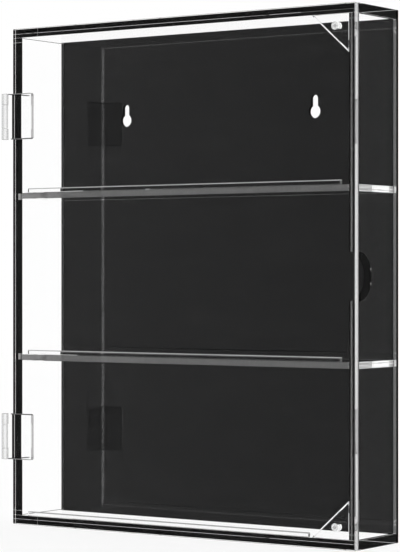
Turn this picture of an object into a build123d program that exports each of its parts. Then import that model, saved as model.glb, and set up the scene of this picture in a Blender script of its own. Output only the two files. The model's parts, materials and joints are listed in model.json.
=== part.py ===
from build123d import *
import os

# Wall-hung display case for trading cards: a box of clear sheet on a black back, with two
# shelves and a clear door that swings on two corner hinges and shuts on two magnets.
# Millimetres. +Z is up, +Y points to the wall behind the case, and the door is on the -Y side.
# The origin is the middle of the underside that the case stands on.

# ---- Driving dimensions ----

# Overall
case_width = 321.6          # over the outer faces of the side walls
case_height = 400.0
case_depth = 63.8           # front of the closed door to the wall side of the back

# Sheets
wall_thickness = 7.0        # top, bottom, left and right
back_thickness = 3.0
door_thickness = 5.6
shelf_thickness = 5.0
gusset_thickness = 5.0
edge_bevel = 0.2            # polished corner on every cut edge
bond_line = 0.1             # cement between bonded sheets

# Door
door_gap = 0.45             # closed door to the front edges of the walls
door_reveal = 0.1           # how far the door stops short of the case on each side

# Retaining lips
lip_height = 3.3
lip_thickness = 3.0
lip_left_gap = 5.8          # lips' left end to the side wall
lip_right_gap = 7.5         # shelf lips' right end to the side wall
bottom_lip_right_gap = 35.2  # bottom lip's right end to the side wall, clear of the gusset

# Corner gussets and their magnets
gusset_width = 32.0         # along the top or bottom wall
gusset_height = 28.7        # along the side wall
magnet_diameter = 6.0
magnet_length = 4.0
magnet_side_inset = 10.4    # magnet's axis to the inside of the side wall
magnet_end_inset = 9.2      # magnet's axis to the inside of the top or bottom wall
magnet_clearance = 0.05     # cement around and under a magnet
magnet_recess = 0.1         # magnet's face below the sheet's face
magnet_bevel = 0.2

# Finger notch in the right wall's front edge, at mid-height
notch_radius = 18.0
notch_bevel = 0.4           # polished corner all round the notch

# Keyhole hangers in the back
hanger_spacing = 180.0
hanger_top_inset = 60.4     # top of the case to the top of the slot
hanger_entry_radius = 5.25
hanger_slot_width = 6.2
hanger_height = 18.2        # bottom of the entry hole to the top of the slot

# Hinges, folded round the front-left corner
hinge_height = 36.8
hinge_end_inset = 71.0      # hinge's middle to the top or bottom of the case
hinge_axis_offset = 4.3     # pin's axis outside the door's front and outside the left wall
barrel_diameter = 5.6
leaf_thickness = 3.2
leaf_reach = 25.8           # pin's axis to the leaf's free edge
leaf_corner_radius = 1.5
leaf_root_radius = 0.8      # where a leaf rolls into its knuckle
middle_knuckle_share = 0.52 # of the hinge's height
knuckle_gap = 0.5           # between neighbouring knuckles, and from a leaf to the other leaf
pin_diameter = 2.4
pin_clearance = 0.05        # radial, in the knuckles

# ---- Places that follow from them ----

door_front = -case_depth / 2
door_rear = door_front + door_thickness
wall_front = door_rear + door_gap
back_rear = case_depth / 2
back_front = back_rear - back_thickness
wall_rear = back_front - bond_line
outer_side = case_width / 2
inner_side = outer_side - wall_thickness
floor_top = wall_thickness
ceiling = case_height - wall_thickness
row_height = (ceiling - floor_top - 2 * shelf_thickness) / 3

pocket_radius = magnet_diameter / 2 + magnet_clearance
pocket_depth = magnet_length + magnet_recess + magnet_clearance
magnet_x = inner_side - magnet_side_inset
magnet_heights = {
    "top": ceiling - magnet_end_inset,
    "bottom": floor_top + magnet_end_inset,
}

pin_x = -outer_side - hinge_axis_offset
pin_y = door_front - hinge_axis_offset
hinge_heights = {
    "upper": case_height - hinge_end_inset,
    "lower": hinge_end_inset,
}


# ---- Shapes shared by several pieces ----

def sheet(x_span, y_span, z_span):
    """A square-cut sheet between its low and high sides, with its corners polished."""
    spans = (x_span, y_span, z_span)
    sizes = [high - low for low, high in spans]
    middle = [(high + low) / 2 for low, high in spans]
    blank = Pos(*middle) * Box(*sizes)
    return chamfer(blank.edges(), edge_bevel)


def rod_along_y(radius, x, y_span, z):
    """A round bar or bore between two places on the front-to-back axis."""
    low, high = y_span
    return Pos(x, (low + high) / 2, z) * Rot(90, 0, 0) * Cylinder(radius, high - low)


def rod_along_z(radius, z_span):
    """An upright round bar or bore on the hinge pins' axis."""
    low, high = z_span
    return Pos(pin_x, pin_y, (low + high) / 2) * Cylinder(radius, high - low)


# ---- Case ----

def make_back():
    """The black back, with a keyhole for each wall screw: drop the head in, slide down."""
    outer_span = (-outer_side, outer_side)
    panel = sheet(outer_span, (back_front, back_rear), (0, case_height))
    cut_span = (back_front - edge_bevel, back_rear + edge_bevel)
    slot_radius = hanger_slot_width / 2
    slot_z = case_height - hanger_top_inset - slot_radius
    entry_z = slot_z + slot_radius - hanger_height + hanger_entry_radius
    for side in (-1, 1):
        x = side * hanger_spacing / 2
        slot_middle = Pos(x, (back_front + back_rear) / 2, (slot_z + entry_z) / 2)
        slot_depth = cut_span[1] - cut_span[0]
        panel -= rod_along_y(hanger_entry_radius, x, cut_span, entry_z)
        panel -= rod_along_y(slot_radius, x, cut_span, slot_z)
        panel -= slot_middle * Box(hanger_slot_width, slot_depth, slot_z - entry_z)
    return panel


def make_walls():
    """Top and bottom run the full width, and the sides stand between them."""
    depth_span = (wall_front, wall_rear)
    outer_span = (-outer_side, outer_side)
    side_span = (floor_top + bond_line, ceiling - bond_line)
    right = sheet((inner_side, outer_side), depth_span, side_span)
    notch_z = case_height / 2
    notch = Pos((inner_side + outer_side) / 2, wall_front, notch_z) * Rot(0, 90, 0)
    right -= notch * Cylinder(notch_radius, 2 * wall_thickness)
    notch_arcs = right.edges().filter_by(GeomType.CIRCLE)
    right = chamfer(notch_arcs, notch_bevel)
    return {
        "bottom_panel": sheet(outer_span, depth_span, (0, floor_top)),
        "top_panel": sheet(outer_span, depth_span, (ceiling, case_height)),
        "left_panel": sheet((-outer_side, -inner_side), depth_span, side_span),
        "right_panel": right,
    }


def make_lip(base, right_gap):
    """A low strip that stands on a shelf or on the floor, flush with its front edge."""
    x_span = (-inner_side + lip_left_gap, inner_side - right_gap)
    y_span = (wall_front, wall_front + lip_thickness)
    foot = base + bond_line
    return sheet(x_span, y_span, (foot, foot + lip_height))


def make_rows():
    """Two shelves that part the case into three equal rows, and a lip for each row."""
    x_span = (-inner_side + bond_line, inner_side - bond_line)
    pieces = {"bottom_lip": make_lip(floor_top, bottom_lip_right_gap)}
    for count, name in enumerate(("lower_shelf", "upper_shelf"), start=1):
        top = floor_top + count * (row_height + shelf_thickness)
        pieces[name] = sheet(x_span, (wall_front, wall_rear), (top - shelf_thickness, top))
        pieces[name + "_lip"] = make_lip(top, lip_right_gap)
    return pieces


def make_magnet(y_span, z):
    """A round magnet that lies front to back in its pocket."""
    blank = rod_along_y(magnet_diameter / 2, magnet_x, y_span, z)
    return chamfer(blank.edges().filter_by(GeomType.CIRCLE), magnet_bevel)


def make_gusset(end):
    """A triangle in a right-hand corner, with a magnet pocket in its front."""
    if end == "top":
        seat, inward = ceiling - bond_line, -1
    else:
        seat, inward = floor_top + bond_line, 1
    side = inner_side - bond_line
    corners = [
        (side, wall_front, seat),
        (side - gusset_width, wall_front, seat),
        (side, wall_front, seat + inward * gusset_height),
    ]
    outline = make_face(Polyline(corners, close=True))
    blank = extrude(outline, amount=gusset_thickness, dir=(0, 1, 0))
    gusset = chamfer(blank.edges(), edge_bevel)
    pocket_span = (wall_front - edge_bevel, wall_front + pocket_depth)
    return gusset - rod_along_y(pocket_radius, magnet_x, pocket_span, magnet_heights[end])


def make_corners():
    """Both gussets and the magnet in each."""
    magnet_front = wall_front + magnet_recess
    magnet_span = (magnet_front, magnet_front + magnet_length)
    pieces = {}
    for end, z in magnet_heights.items():
        pieces[end + "_corner_gusset"] = make_gusset(end)
        pieces[end + "_gusset_magnet"] = make_magnet(magnet_span, z)
    return pieces


# ---- Door ----

def make_door():
    """The clear door and the magnets in its inside face."""
    reach = outer_side - door_reveal
    height_span = (door_reveal, case_height - door_reveal)
    panel = sheet((-reach, reach), (door_front, door_rear), height_span)
    magnet_rear = door_rear - magnet_recess
    magnet_span = (magnet_rear - magnet_length, magnet_rear)
    pocket_span = (door_rear - pocket_depth, door_rear + edge_bevel)
    pieces = {}
    for end, z in magnet_heights.items():
        panel -= rod_along_y(pocket_radius, magnet_x, pocket_span, z)
        pieces[end + "_door_magnet"] = make_magnet(magnet_span, z)
    pieces["door_panel"] = panel
    return pieces


# ---- Hinges ----

def make_leaf_plate(middle_z):
    """A leaf's flat plate on the door's front, from the pin's axis to its free edge."""
    rear = door_front - bond_line
    length_middle = pin_x + leaf_reach / 2
    plate = Pos(length_middle, rear - leaf_thickness / 2, middle_z)
    plate *= Box(leaf_reach, leaf_thickness, hinge_height)
    free_corners = plate.edges().filter_by(Axis.Y).group_by(Axis.X)[-1]
    plate = fillet(free_corners, leaf_corner_radius)
    root = plate.edges().filter_by(Axis.Z).group_by(Axis.X)[0].sort_by(Axis.Y)[-1]
    return fillet(root, min(leaf_root_radius, 0.95 * leaf_thickness))


def make_leaf(middle_z, knuckle_spans, clear_spans):
    """A leaf on the door's front: a plate with its own knuckles, cut away for the other's."""
    leaf = make_leaf_plate(middle_z)
    for span in knuckle_spans:
        leaf += rod_along_z(barrel_diameter / 2, span)
    clear_reach = hinge_axis_offset + knuckle_gap
    for low, high in clear_spans:
        room = Pos(pin_x, pin_y, (low + high) / 2)
        leaf -= room * Box(2 * clear_reach, 2 * clear_reach, high - low)
    full_span = (middle_z - hinge_height, middle_z + hinge_height)
    return leaf - rod_along_z(pin_diameter / 2 + pin_clearance, full_span)


def make_hinge(name, middle_z):
    """A pin and two leaves: the door's has the middle knuckle, the case's the outer two."""
    bottom = middle_z - hinge_height / 2
    top = middle_z + hinge_height / 2
    half_middle = middle_knuckle_share * hinge_height / 2
    joints = (middle_z - half_middle, middle_z + half_middle)
    half_gap = knuckle_gap / 2
    middle_span = (joints[0] + half_gap, joints[1] - half_gap)
    outer_spans = [(bottom, joints[0] - half_gap), (joints[1] + half_gap, top)]
    middle_room = (joints[0] - half_gap, joints[1] + half_gap)
    outer_rooms = [(bottom - 1, joints[0] + half_gap), (joints[1] - half_gap, top + 1)]
    door_leaf = make_leaf(middle_z, [middle_span], outer_rooms)
    case_leaf_on_door = make_leaf(middle_z, outer_spans, [middle_room])
    # Turned over the line that halves the corner, the same leaf lies on the left wall.
    corner_plane = Plane(origin=(pin_x, pin_y, middle_z), x_dir=(1, 1, 0), z_dir=(1, -1, 0))
    return {
        name + "_hinge_door_leaf": door_leaf,
        name + "_hinge_case_leaf": mirror(case_leaf_on_door, about=corner_plane),
        name + "_hinge_pin": rod_along_z(pin_diameter / 2, (bottom, top)),
    }


# ---- The whole case ----

def make_case():
    pieces = {"back_panel": make_back()}
    pieces.update(make_walls())
    pieces.update(make_rows())
    pieces.update(make_corners())
    pieces.update(make_door())
    for name, middle_z in hinge_heights.items():
        pieces.update(make_hinge(name, middle_z))
    return pieces


os.makedirs("parts", exist_ok=True)
for node, shape in make_case().items():
    export_step(shape, f"parts/{node}.step")
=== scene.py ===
import json
import math

import bpy
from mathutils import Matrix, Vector


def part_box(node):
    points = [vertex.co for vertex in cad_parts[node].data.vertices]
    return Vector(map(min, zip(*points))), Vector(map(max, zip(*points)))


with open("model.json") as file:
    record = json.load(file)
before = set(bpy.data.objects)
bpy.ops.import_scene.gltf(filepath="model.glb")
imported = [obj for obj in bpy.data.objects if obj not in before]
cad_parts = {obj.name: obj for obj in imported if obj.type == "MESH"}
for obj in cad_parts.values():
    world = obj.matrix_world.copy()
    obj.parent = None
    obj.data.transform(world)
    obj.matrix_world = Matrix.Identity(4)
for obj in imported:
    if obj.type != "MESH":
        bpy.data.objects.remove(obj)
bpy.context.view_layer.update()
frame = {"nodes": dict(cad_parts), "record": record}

scene = bpy.context.scene
nodes = frame["nodes"]

# Lengths are in metres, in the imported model's frame. Tones are linear, and 1 is white.

# ---- Places on the case that the finishes follow ----

MILLIMETRE = 0.001
FACE_DEPTH = 0.02 * MILLIMETRE      # how near to a face a point lies to count as on it

_, back_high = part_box("back_panel")
shelf_low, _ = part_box("upper_shelf")
_, top_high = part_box("top_panel")
_, left_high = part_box("left_panel")
right_low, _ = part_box("right_panel")
door_low, door_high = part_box("door_panel")
pin_low, pin_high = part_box("upper_hinge_pin")
leaf_low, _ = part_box("upper_hinge_case_leaf")
pin_middle = (pin_low + pin_high) / 2
knuckle_radius = pin_middle.y - leaf_low.y

# ---- Optics ----

SHEET_IOR = 1.62            # read from the photograph's light paths inside the walls
HINGE_IOR = 1.45
REFLECTED_SHARE = 0.04      # of the plain surface reflection; the photograph shows next to none
TOTAL_REFLECTION = 0.98     # Fresnel above this is total reflection, inside a sheet
DEEPEST_PATH = 128          # light runs the whole width of a sheet inside it


# ---- Node helpers ----

def new_tree(name):
    """An empty node material, with its output."""
    material = bpy.data.materials.new(name)
    material.use_nodes = True
    tree = material.node_tree
    tree.nodes.clear()
    output = tree.nodes.new("ShaderNodeOutputMaterial")
    return material, tree, output.inputs["Surface"]


def feed(tree, socket, value):
    """Set a socket to a plain value, or link another socket to it."""
    if isinstance(value, bpy.types.NodeSocket):
        tree.links.new(value, socket)
    else:
        socket.default_value = value


def add(tree, kind, **inputs):
    """Add a node and feed its inputs, whose names are given with _ for a space."""
    node = tree.nodes.new("ShaderNode" + kind)
    for name, value in inputs.items():
        feed(tree, node.inputs[name.replace("_", " ")], value)
    return node


def calculate(tree, operation, *values):
    node = tree.nodes.new("ShaderNodeMath")
    node.operation = operation
    for socket, value in zip(node.inputs, values):
        feed(tree, socket, value)
    return node.outputs[0]


def product(tree, value, *others):
    for other in others:
        value = calculate(tree, "MULTIPLY", value, other)
    return value


def rescale(tree, value, from_low, from_high, to_low, to_high):
    """Map a value's range to another, held at both ends."""
    node = tree.nodes.new("ShaderNodeMapRange")
    for socket, number in zip(node.inputs, (value, from_low, from_high, to_low, to_high)):
        feed(tree, socket, number)
    return node.outputs[0]


def mix_shaders(tree, factor, first, second):
    node = tree.nodes.new("ShaderNodeMixShader")
    for socket, value in zip(node.inputs, (factor, first, second)):
        feed(tree, socket, value)
    return node.outputs[0]


def dull_shader(tree, tone):
    """Dull grey, of one tone from a number or of a varying tone from a socket."""
    return add(tree, "BsdfDiffuse", Color=grey(tree, tone)).outputs[0]


def grey(tree, tone):
    if isinstance(tone, bpy.types.NodeSocket):
        return add(tree, "CombineColor", Red=tone, Green=tone, Blue=tone).outputs[0]
    return (tone, tone, tone, 1)


# ---- Where a point lies ----

def place(tree):
    """The point's place in the frame, which stays with a piece when it moves."""
    return tree.nodes.new("ShaderNodeTexCoord").outputs["Object"]


def place_along(tree, axis):
    split = add(tree, "SeparateXYZ", Vector=place(tree))
    return split.outputs[axis]


def beyond(tree, axis, limit):
    """1 past a limit along an axis, else 0."""
    return calculate(tree, "GREATER_THAN", place_along(tree, axis), limit)


def short_of(tree, axis, limit):
    """1 before a limit along an axis, else 0."""
    return calculate(tree, "LESS_THAN", place_along(tree, axis), limit)


def distance_along(tree, axis, middle):
    offset = calculate(tree, "SUBTRACT", place_along(tree, axis), middle)
    return calculate(tree, "ABSOLUTE", offset)


def distance_from_line(tree, axes, middle):
    """How far the point lies, along two axes, from the line through another point."""
    squares = []
    for axis in axes:
        offset = distance_along(tree, axis, getattr(middle, axis.lower()))
        squares.append(product(tree, offset, offset))
    return calculate(tree, "SQRT", calculate(tree, "ADD", *squares))


def noise(tree, scale, stretch=(1, 1, 1), detail=3.0):
    """Cloudy noise with a number of lumps to the metre, drawn out along an axis."""
    mapping = add(tree, "Mapping", Vector=place(tree), Scale=stretch)
    cloud = add(tree, "TexNoise", Vector=mapping.outputs[0], Scale=scale, Detail=detail)
    return cloud.outputs["Fac"]


NOISE_LOW = 0.3             # nearly all of the noise lies between these
NOISE_HIGH = 0.7


def varied(tree, cloud, low, high):
    """A value that follows noise between two ends."""
    return rescale(tree, cloud, NOISE_LOW, NOISE_HIGH, low, high)


# ---- Clear sheet ----

def mirrored(tree):
    """1 for light that has been mirrored at least once, else 0."""
    path = tree.nodes.new("ShaderNodeLightPath")
    return calculate(tree, "GREATER_THAN", path.outputs["Glossy Depth"], 0.5)


def clear_shader(tree, ior, painted_shade=(1, 1, 1, 1)):
    """Polished clear plastic: it bends light, and mirrors it where reflection is total."""
    bend = add(tree, "BsdfRefraction", Color=painted_shade, IOR=ior, Roughness=0.0)
    mirror = add(tree, "BsdfGlossy", Color=(1, 1, 1, 1), Roughness=0.0)
    fresnel = add(tree, "Fresnel", IOR=ior).outputs[0]
    total = calculate(tree, "GREATER_THAN", fresnel, TOTAL_REFLECTION)
    faint = calculate(tree, "MULTIPLY", fresnel, REFLECTED_SHARE)
    factor = calculate(tree, "MAXIMUM", total, faint)
    return mix_shaders(tree, factor, bend.outputs[0], mirror.outputs[0])


DUST_SIZE = 900.0           # specks to the metre
DUST_FROM = 0.70            # noise at which a speck begins, and is full
DUST_FULL = 0.76
WIPE_SIZE = 25.0
WIPE_STRETCH = (1, 1, 6)
WIPE_FROM = 0.45
WIPE_FULL = 0.75
WIPE_SHARE = 0.25           # of a speck's cover
DUST_SHARE = 0.012
DUST_TONE = 0.8


def polished_sheet(tree):
    """Clear sheet, with a thin scatter of dust specks and wipe marks."""
    speck = rescale(tree, noise(tree, DUST_SIZE, detail=1.0), DUST_FROM, DUST_FULL, 0.0, 1.0)
    marks = noise(tree, WIPE_SIZE, WIPE_STRETCH)
    wiped = rescale(tree, marks, WIPE_FROM, WIPE_FULL, 0.0, WIPE_SHARE)
    cover = calculate(tree, "MULTIPLY", calculate(tree, "ADD", speck, wiped), DUST_SHARE)
    return mix_shaders(tree, cover, clear_shader(tree, SHEET_IOR), dull_shader(tree, DUST_TONE))


def make_clear():
    material, tree, surface = new_tree("clear_acrylic")
    feed(tree, surface, polished_sheet(tree))
    return material


SEAT_TONE = 0.028           # of a sheet's rear edge, where it is cemented to the black back
SIDE_SEAT_PAINTED_LIGHT_TONE = 0.13       # painted light: the side walls' rear edge, seen straight through the wall, is painted this lighter grey
RIGHT_SEAT_PAINTED_SHARE = 0.3      # of the right wall's rear edge, seen straight through, that takes the painted seat tone; mirror images take all of it


def seated(tree, shader, share, straight_tone):
    """Cover part of the rear edge with the black that is cemented behind it; seen straight
    through, the side walls take a lighter painted tone instead.
    """
    tone = rescale(tree, mirrored(tree), 0.0, 1.0, straight_tone, SEAT_TONE)
    cover = product(tree, beyond(tree, "Y", top_high.y - FACE_DEPTH), share)
    return mix_shaders(tree, cover, shader, dull_shader(tree, tone))


def make_bonded_clear():
    """The top and bottom, whose whole rear edge is cemented to the back."""
    material, tree, surface = new_tree("clear_acrylic_bonded")
    feed(tree, surface, seated(tree, polished_sheet(tree), 1.0, SEAT_TONE))
    return material


SAW_LINE_MIDDLE = 2.3 * MILLIMETRE      # from the wall's inside face
SAW_LINE_REACH = 1.3 * MILLIMETRE       # either way
SAW_LINE_TONE = 0.16


def saw_line(tree):
    """1 along a satin line that the saw left on the right wall's front edge."""
    front = short_of(tree, "Y", right_low.y + FACE_DEPTH)
    offset = distance_along(tree, "X", right_low.x + SAW_LINE_MIDDLE)
    return product(tree, front, rescale(tree, offset, 0.0, SAW_LINE_REACH, 1.0, 0.0))


def make_right_clear():
    """The right wall: seen straight through, its rear edge takes only part of the painted seat
    tone; mirror images show all of it dark.
    """
    material, tree, surface = new_tree("clear_acrylic_part_painted_seat")
    share = rescale(tree, mirrored(tree), 0.0, 1.0, RIGHT_SEAT_PAINTED_SHARE, 1.0)
    dull = dull_shader(tree, SAW_LINE_TONE)
    lined = mix_shaders(tree, saw_line(tree), polished_sheet(tree), dull)
    feed(tree, surface, seated(tree, lined, share, SIDE_SEAT_PAINTED_LIGHT_TONE))
    return material


CEMENT_START = -2.2 * MILLIMETRE        # front and rear of the run at each shelf
CEMENT_END = 6.0 * MILLIMETRE
CEMENT_START_TONE = 1.0
CEMENT_END_TONE = 0.25


def cement_run(tree):
    """1 where a shelf's end is cemented to the left wall's inside face, along its run."""
    at_shelf = 0.0
    for name in ("upper_shelf", "lower_shelf"):
        low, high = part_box(name)
        offset = distance_along(tree, "Z", (low.z + high.z) / 2)
        near = calculate(tree, "LESS_THAN", offset, (high.z - low.z) / 2)
        at_shelf = calculate(tree, "MAXIMUM", near, at_shelf)
    inner = beyond(tree, "X", left_high.x - FACE_DEPTH)
    begun = beyond(tree, "Y", CEMENT_START)
    ended = short_of(tree, "Y", CEMENT_END)
    return product(tree, inner, begun, ended, at_shelf)


def make_left_clear():
    """The left wall: bonded, with a white run of cement inside where each shelf meets it."""
    material, tree, surface = new_tree("clear_acrylic_left")
    depth = place_along(tree, "Y")
    tone = rescale(
        tree, depth, CEMENT_START, CEMENT_END, CEMENT_START_TONE, CEMENT_END_TONE,
    )
    cement = dull_shader(tree, tone)
    cemented = mix_shaders(tree, cement_run(tree), polished_sheet(tree), cement)
    feed(tree, surface, seated(tree, cemented, 1.0, SIDE_SEAT_PAINTED_LIGHT_TONE))
    return material


# painted shade: the whitish satin front edge is painted this dark grey for the dim light in front
# of the case
SATIN_SHADED_TONE = 0.13
SATIN_SPREAD = 0.08         # of the tone, either way
SATIN_STRAIGHT = 0.09       # of the light on the satin edge that goes straight on
SATIN_BENT = 0.02           # and that is bent as by a polished edge
SAW_MARK_SIZE = 60.0
SAW_MARK_STRETCH = (30, 1, 1)


def make_shelf_clear():
    """Clear sheet whose front edge is satin from the saw, painted dark grey for shade, and whose
    left end is cemented.
    """
    material, tree, surface = new_tree("clear_acrylic_satin_front_painted_shade")
    straight = add(tree, "BsdfTransparent").outputs[0]
    marks = noise(tree, SAW_MARK_SIZE, SAW_MARK_STRETCH, 2.0)
    darkest = SATIN_SHADED_TONE * (1 - SATIN_SPREAD)
    lightest = SATIN_SHADED_TONE * (1 + SATIN_SPREAD)
    # the satin's dark grey is painted shade; the saw marks vary it either way
    satin = dull_shader(tree, varied(tree, marks, darkest, lightest))
    dull = mix_shaders(tree, SATIN_STRAIGHT, satin, straight)
    front = short_of(tree, "Y", shelf_low.y + FACE_DEPTH)
    inside = tree.nodes.new("ShaderNodeNewGeometry").outputs["Backfacing"]
    outside = calculate(tree, "SUBTRACT", 1.0, inside)
    cover = product(tree, front, outside, 1.0 - SATIN_BENT)
    edged = mix_shaders(tree, cover, polished_sheet(tree), dull)
    cemented = short_of(tree, "X", shelf_low.x + FACE_DEPTH)
    feed(tree, surface, mix_shaders(tree, cemented, edged, straight))
    return material


END_TONE = 0.3
END_COVER_FRONT = 0.0       # of the door's right end that is covered dull grey, at its front
END_COVER_REAR = 0.8        # and at its rear


def make_door_clear():
    """The door's sheet, whose right end is dull grey, more so towards the inside."""
    material, tree, surface = new_tree("clear_acrylic_door")
    end = beyond(tree, "X", door_high.x - FACE_DEPTH)
    depth = place_along(tree, "Y")
    rear_cover = rescale(tree, depth, door_low.y, door_high.y, END_COVER_FRONT, END_COVER_REAR)
    cover = product(tree, end, rear_cover)
    dull = dull_shader(tree, END_TONE)
    feed(tree, surface, mix_shaders(tree, cover, polished_sheet(tree), dull))
    return material


LIP_EDGE_TONE = 0.43
LIP_EDGE_HEIGHT = 0.68 * MILLIMETRE


def make_lip_clear(name, top):
    """Clear strip whose top edge is left satin."""
    material, tree, surface = new_tree("clear_acrylic_" + name)
    edge = beyond(tree, "Z", top - LIP_EDGE_HEIGHT)
    satin = dull_shader(tree, LIP_EDGE_TONE)
    feed(tree, surface, mix_shaders(tree, edge, polished_sheet(tree), satin))
    return material


# ---- Black sheet ----

BLACK_TONE = 0.004
BLACK_BLUE = 1.05           # its blue, as a share of its red and green
BLACK_IOR = 1.74
SMUDGE_SIZE = 18.0
SMUDGE_STRETCH = (1, 1, 2)
SMUDGE_FROM = 0.35
CLEAN_ROUGHNESS = 0.02
SMUDGED_ROUGHNESS = 0.035
SAWN_TONE = 0.003           # of the sheet's sawn edges and the keyholes' walls
SAWN_SPREAD = 0.3
SAWN_GRAIN_SIZE = 400.0
SAWN_GRAIN_STRETCH = (1, 8, 1)
FACING_FRONT = 0.9          # how much of a normal points front or rear on the flat faces


def make_black():
    """Glossy black sheet with faint wipe marks, and dull where it is cut."""
    material, tree, surface = new_tree("black_acrylic")
    smudges = noise(tree, SMUDGE_SIZE, SMUDGE_STRETCH, 4.0)
    roughness = rescale(
        tree, smudges, SMUDGE_FROM, NOISE_HIGH, CLEAN_ROUGHNESS, SMUDGED_ROUGHNESS,
    )
    polished = add(
        tree, "BsdfPrincipled",
        Base_Color=(BLACK_TONE, BLACK_TONE, BLACK_TONE * BLACK_BLUE, 1), IOR=BLACK_IOR,
        Roughness=roughness,
    )
    grain = noise(tree, SAWN_GRAIN_SIZE, SAWN_GRAIN_STRETCH, 2.0)
    darkest = SAWN_TONE * (1 - SAWN_SPREAD)
    lightest = SAWN_TONE * (1 + SAWN_SPREAD)
    dull = dull_shader(tree, varied(tree, grain, darkest, lightest))
    normal = tree.nodes.new("ShaderNodeNewGeometry").outputs["Normal"]
    facing = add(tree, "SeparateXYZ", Vector=normal)
    flatness = calculate(tree, "ABSOLUTE", facing.outputs["Y"])
    cut = calculate(tree, "LESS_THAN", flatness, FACING_FRONT)
    feed(tree, surface, mix_shaders(tree, cut, polished.outputs[0], dull))
    return material


# ---- Hinges ----

HINGE_MIRROR_SHADE = 0.80       # painted shade: the share of mirrored light that each face of a hinge lets through, so that hinges look darker in mirror images
OUTER_RIM = 0.45 * MILLIMETRE           # towards the top or bottom of the case
OUTER_RIM_TONE = 0.3
INNER_RIM = 0.7 * MILLIMETRE            # towards the middle of the case
INNER_RIM_TONE = 0.12
KNUCKLE_HAZE = 0.04         # of a knuckle's surface
HAZE_TONE = 0.1
KNUCKLE_GAP = 0.5 * MILLIMETRE
FLOW_SIZE = 120.0
FLOW_STRETCH = (1, 1, 3)
FLOW_FROM = 0.5
FLOW_FULL = 0.8
FLOW_SHARE = 0.01
FLOW_TONE = 0.7


# painted shade on a hinge, for light that has been mirrored
def hinge_mirror_shade(tree):
    return rescale(tree, mirrored(tree), 0.0, 1.0, 1.0, HINGE_MIRROR_SHADE)


def hinge_glass(tree):
    return clear_shader(tree, HINGE_IOR, hinge_mirror_shade(tree))


def see_through(tree):
    return add(tree, "BsdfTransparent", Color=hinge_mirror_shade(tree)).outputs[0]


def flow_marked(tree, shader):
    """The moulding's skin, with the faint clouds that the plastic's flow left."""
    flow = noise(tree, FLOW_SIZE, FLOW_STRETCH)
    cover = rescale(tree, flow, FLOW_FROM, FLOW_FULL, 0.0, FLOW_SHARE)
    return mix_shaders(tree, cover, shader, dull_shader(tree, FLOW_TONE))


def plate_mask(tree):
    """1 on a leaf's plate, and 0 on its knuckles."""
    from_pin = distance_from_line(tree, "XY", pin_middle)
    return calculate(tree, "GREATER_THAN", from_pin, knuckle_radius + FACE_DEPTH)


def hazed(tree, shader):
    """Moulding haze on the knuckles."""
    knuckle = calculate(tree, "SUBTRACT", 1.0, plate_mask(tree))
    cover = product(tree, knuckle, KNUCKLE_HAZE)
    return mix_shaders(tree, cover, shader, dull_shader(tree, HAZE_TONE))


def in_upper_half(box):
    """Whether a hinge's leaf lies in the upper half of the case."""
    low, _ = box
    return low.z > back_high.z / 2


def rimmed(tree, shader, box, at_top, depth, tone):
    """A satin rim along the top or the bottom of a leaf's plate."""
    low, high = box
    if at_top:
        rim = beyond(tree, "Z", high.z - depth)
    else:
        rim = short_of(tree, "Z", low.z + depth)
    cover = product(tree, rim, plate_mask(tree))
    return mix_shaders(tree, cover, shader, dull_shader(tree, tone))


def make_pin_plastic():
    """Moulded clear plastic: softer than the sheets, with faint flow marks."""
    material, tree, surface = new_tree("clear_hinge_plastic")
    feed(tree, surface, flow_marked(tree, hinge_glass(tree)))
    return material


def make_door_leaf_plastic(name, box):
    """A leaf on the door: its cut-outs beside the other leaf's knuckles let light straight on."""
    material, tree, surface = new_tree("clear_hinge_plastic_" + name)
    cut_x = pin_middle.x + door_low.y - pin_middle.y + KNUCKLE_GAP
    beside = short_of(tree, "X", cut_x + FACE_DEPTH)
    cut = product(tree, beside, plate_mask(tree))
    body = hazed(tree, mix_shaders(tree, cut, hinge_glass(tree), see_through(tree)))
    upper = in_upper_half(box)
    outer = rimmed(tree, body, box, upper, OUTER_RIM, OUTER_RIM_TONE)
    both = rimmed(tree, outer, box, not upper, INNER_RIM, INNER_RIM_TONE)
    feed(tree, surface, flow_marked(tree, both))
    return material


def make_case_leaf_plastic(name, box):
    """A leaf whose plate is cemented to the wall, so that light goes straight through it."""
    material, tree, surface = new_tree("clear_hinge_plastic_" + name)
    plate = plate_mask(tree)
    body = hazed(tree, mix_shaders(tree, plate, hinge_glass(tree), see_through(tree)))
    outer = rimmed(tree, body, box, in_upper_half(box), OUTER_RIM, INNER_RIM_TONE)
    feed(tree, surface, flow_marked(tree, outer))
    return material


# ---- Magnets ----

MAGNET_CENTRE = 0.42        # darker middle of a magnet's face, as a share of its radius
CENTRE_BLUR = 0.2           # of that middle's radius, either way
DOOR_MAGNET_TONES = (0.62, 1.0)         # darker middle and lighter rim
# painted shade: the gusset magnets have the same plating as the door's, painted darker
GUSSET_MAGNET_SHADED_TONES = (0.2, 0.34)
PLATING_METALLIC = 0.35
MOTTLE_SIZE = 1500.0
PLATING_ROUGHNESS = (0.18, 0.34)


def make_magnet(name, box, tones):
    """Bright nickel plating, mottled, with a darker middle inside a lighter rim; the gusset
    magnets' tones are painted shade.
    """
    material, tree, surface = new_tree("magnet_plating_" + name)
    low, high = box
    from_axis = distance_from_line(tree, "XZ", (low + high) / 2)
    dark_middle_radius = MAGNET_CENTRE * (high.x - low.x) / 2
    blur = CENTRE_BLUR * dark_middle_radius
    tone = rescale(tree, from_axis, dark_middle_radius - blur, dark_middle_radius + blur, *tones)
    plating = add(
        tree, "BsdfPrincipled",
        Base_Color=grey(tree, tone), Metallic=PLATING_METALLIC,
        Roughness=varied(tree, noise(tree, MOTTLE_SIZE), *PLATING_ROUGHNESS),
    )
    feed(tree, surface, plating.outputs[0])
    return material


# ---- Finishes, by piece and otherwise by the record's slot ----

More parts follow.
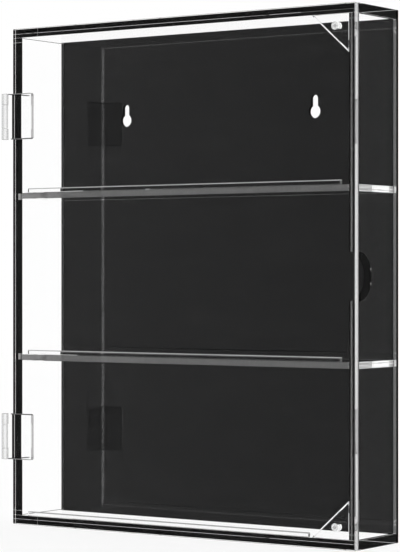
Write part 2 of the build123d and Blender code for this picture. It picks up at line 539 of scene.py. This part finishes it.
finishes = {
    "clear_acrylic": make_clear(),
    "clear_hinge_plastic": make_pin_plastic(),
    "black_acrylic": make_black(),
}
bonded_clear = make_bonded_clear()
shelf_clear = make_shelf_clear()
special_finishes = {
    "top_panel": bonded_clear,
    "bottom_panel": bonded_clear,
    "left_panel": make_left_clear(),
    "right_panel": make_right_clear(),
    "door_panel": make_door_clear(),
    "upper_shelf": shelf_clear,
    "lower_shelf": shelf_clear,
}
for name in ("upper_shelf_lip", "lower_shelf_lip", "bottom_lip"):
    low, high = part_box(name)
    special_finishes[name] = make_lip_clear(name, high.z)
for end in ("top", "bottom"):
    name = end + "_door_magnet"
    special_finishes[name] = make_magnet(name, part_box(name), DOOR_MAGNET_TONES)
    name = end + "_gusset_magnet"
    special_finishes[name] = make_magnet(name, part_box(name), GUSSET_MAGNET_SHADED_TONES)
for end in ("upper", "lower"):
    name = end + "_hinge_door_leaf"
    special_finishes[name] = make_door_leaf_plastic(name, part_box(name))
    name = end + "_hinge_case_leaf"
    special_finishes[name] = make_case_leaf_plastic(name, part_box(name))
for entry in frame["record"]["subparts"]:
    name = entry["node"]
    finish = special_finishes.get(name) or finishes[entry["material_slot"]]
    for slot in nodes[name].material_slots:
        slot.material = finish

# ---- Camera ----

CAMERA_PLACE = Vector((1.0142, -1.45395, 0.200))
CAMERA_TURN = math.radians(34.86)      # away from square-on
CAMERA_LENS = 148.26
CAMERA_SHIFT = 0.0009

camera_data = bpy.data.cameras.new("camera")
camera_data.lens = CAMERA_LENS
camera_data.shift_y = CAMERA_SHIFT
camera = bpy.data.objects.new("camera", camera_data)
camera.location = CAMERA_PLACE
camera.rotation_euler = (math.pi / 2, 0, CAMERA_TURN)
scene.collection.objects.link(camera)
scene.camera = camera

# ---- Studio ----

BACKDROP_EDGE = 0.15        # how far behind square-on the white backdrop begins
ROOM_TONE = 0.08            # the room's darkest tone, straight in front of the case
FLOOR_DROP = 0.5 * MILLIMETRE
FLOOR_SIZE = 6.0
FLOOR_TONE = 0.97
FLOOR_GLOW = 0.8            # share of the floor's white that shadows don't reach


def make_world():
    """White all round, but what mirrors the front sees the room darken towards it."""
    world = bpy.data.worlds.new("studio")
    world.use_nodes = True
    tree = world.node_tree
    direction = tree.nodes.new("ShaderNodeTexCoord").outputs["Generated"]
    backwards = add(tree, "SeparateXYZ", Vector=direction).outputs["Y"]
    room = rescale(tree, backwards, -1.0, BACKDROP_EDGE, ROOM_TONE, 1.0)
    tone = calculate(tree, "MAXIMUM", room, calculate(tree, "SUBTRACT", 1.0, mirrored(tree)))
    background = tree.nodes["Background"]
    feed(tree, background.inputs["Color"], tone)
    background.inputs["Strength"].default_value = 1.0
    return world


def make_floor():
    """A plain white floor that takes a soft shadow and that mirrors don't show."""
    material, tree, surface = new_tree("floor_white")
    glow = add(tree, "Emission", Color=(1, 1, 1, 1), Strength=1.0).outputs[0]
    seen_through = tree.nodes.new("ShaderNodeLightPath").outputs["Is Transmission Ray"]
    share = rescale(tree, seen_through, 0.0, 1.0, FLOOR_GLOW, 1.0)
    white = mix_shaders(tree, share, dull_shader(tree, FLOOR_TONE), glow)
    gone = add(tree, "BsdfTransparent").outputs[0]
    feed(tree, surface, mix_shaders(tree, mirrored(tree), white, gone))
    bpy.ops.mesh.primitive_plane_add(size=FLOOR_SIZE, location=(0, 0, -FLOOR_DROP))
    floor = bpy.context.object
    floor.name = "floor"
    floor.data.materials.append(material)


scene.world = make_world()
make_floor()

scene.view_settings.view_transform = "Standard"
scene.cycles.blur_glossy = 0
scene.cycles.max_bounces = DEEPEST_PATH
scene.cycles.glossy_bounces = DEEPEST_PATH
scene.cycles.transmission_bounces = DEEPEST_PATH
scene.cycles.transparent_max_bounces = DEEPEST_PATH
